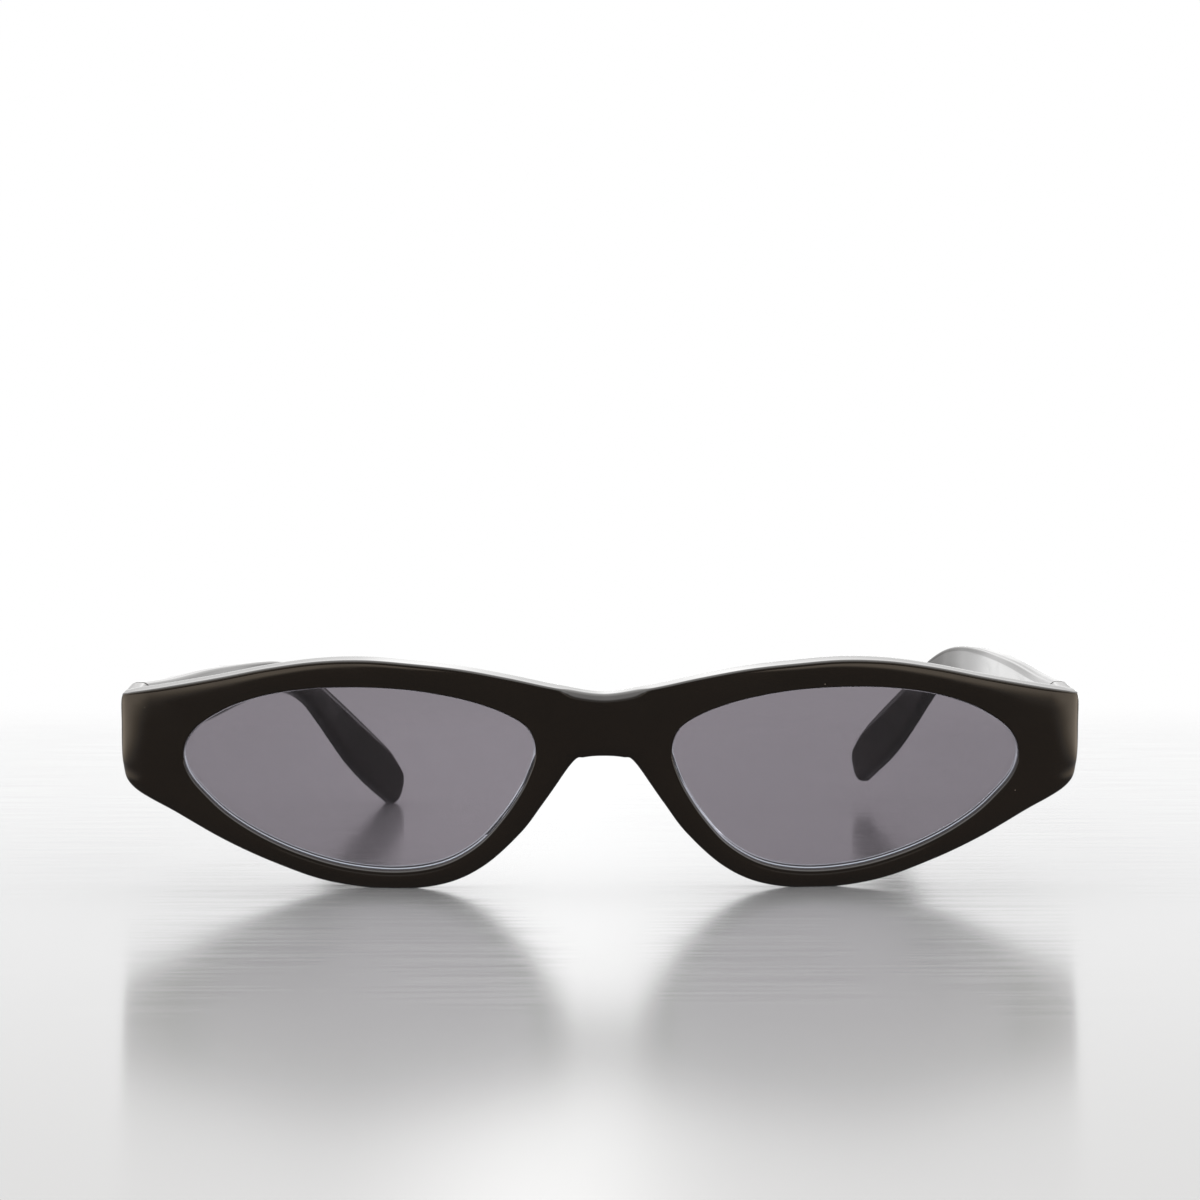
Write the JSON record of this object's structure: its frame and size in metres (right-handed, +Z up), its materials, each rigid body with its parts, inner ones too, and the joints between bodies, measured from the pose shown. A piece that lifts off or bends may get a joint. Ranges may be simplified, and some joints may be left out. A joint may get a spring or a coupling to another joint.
{
  "type": "sunglasses",
  "caption": "Slim cat-eye sunglasses with a glossy plastic front, curved smoke-tinted lenses and folding drop-end temples on screw hinges.",
  "frame": {"origin": "middle of the glasses' bounding box on the floor plane, as they stand open on both lower rims and the right temple's tip; the front's middle plane is X = 0", "axes": "+X to the wearer's left, +Y back along the temples from the front, +Z up; the front faces -Y"},
  "size_m": [0.1444, 0.1502, 0.0342],
  "materials": {
    "frame_plastic": "polished moulded black plastic",
    "lens_tint": "smoke-grey tint, clear and polished",
    "hinge_steel": "nickel-coloured, satin",
    "screw_steel": "turned, slotted heads",
    "core_steel": "drawn wire"
  },
  "bodies": {
    "front": {"front_frame": "frame_plastic", "left_lens": "lens_tint", "right_lens": "lens_tint", "left_front_leaf": "hinge_steel", "right_front_leaf": "hinge_steel", "left_pivot_screw": "screw_steel", "right_pivot_screw": "screw_steel", "left_front_screw_upper": "screw_steel", "left_front_screw_lower": "screw_steel", "right_front_screw_upper": "screw_steel", "right_front_screw_lower": "screw_steel"},
    "left_temple": {"left_temple": "frame_plastic", "left_temple_leaf": "hinge_steel", "left_core_wire": "core_steel", "left_temple_screw_fore": "screw_steel", "left_temple_screw_rear": "screw_steel"},
    "right_temple": {"right_temple": "frame_plastic", "right_temple_leaf": "hinge_steel", "right_core_wire": "core_steel", "right_temple_screw_fore": "screw_steel", "right_temple_screw_rear": "screw_steel"}
  },
  "joints": [
    {"name": "left_hinge", "type": "hinge", "parent": "front", "child": "left_temple", "pos_m": [0.0665, -0.05559, 0.02405], "axis": [0, 0, 1], "range_deg": [0, 85]},
    {"name": "right_hinge", "type": "hinge", "parent": "front", "child": "right_temple", "pos_m": [-0.0665, -0.05559, 0.02405], "axis": [0, 0, -1], "range_deg": [-7.8, 68]}
  ]
}
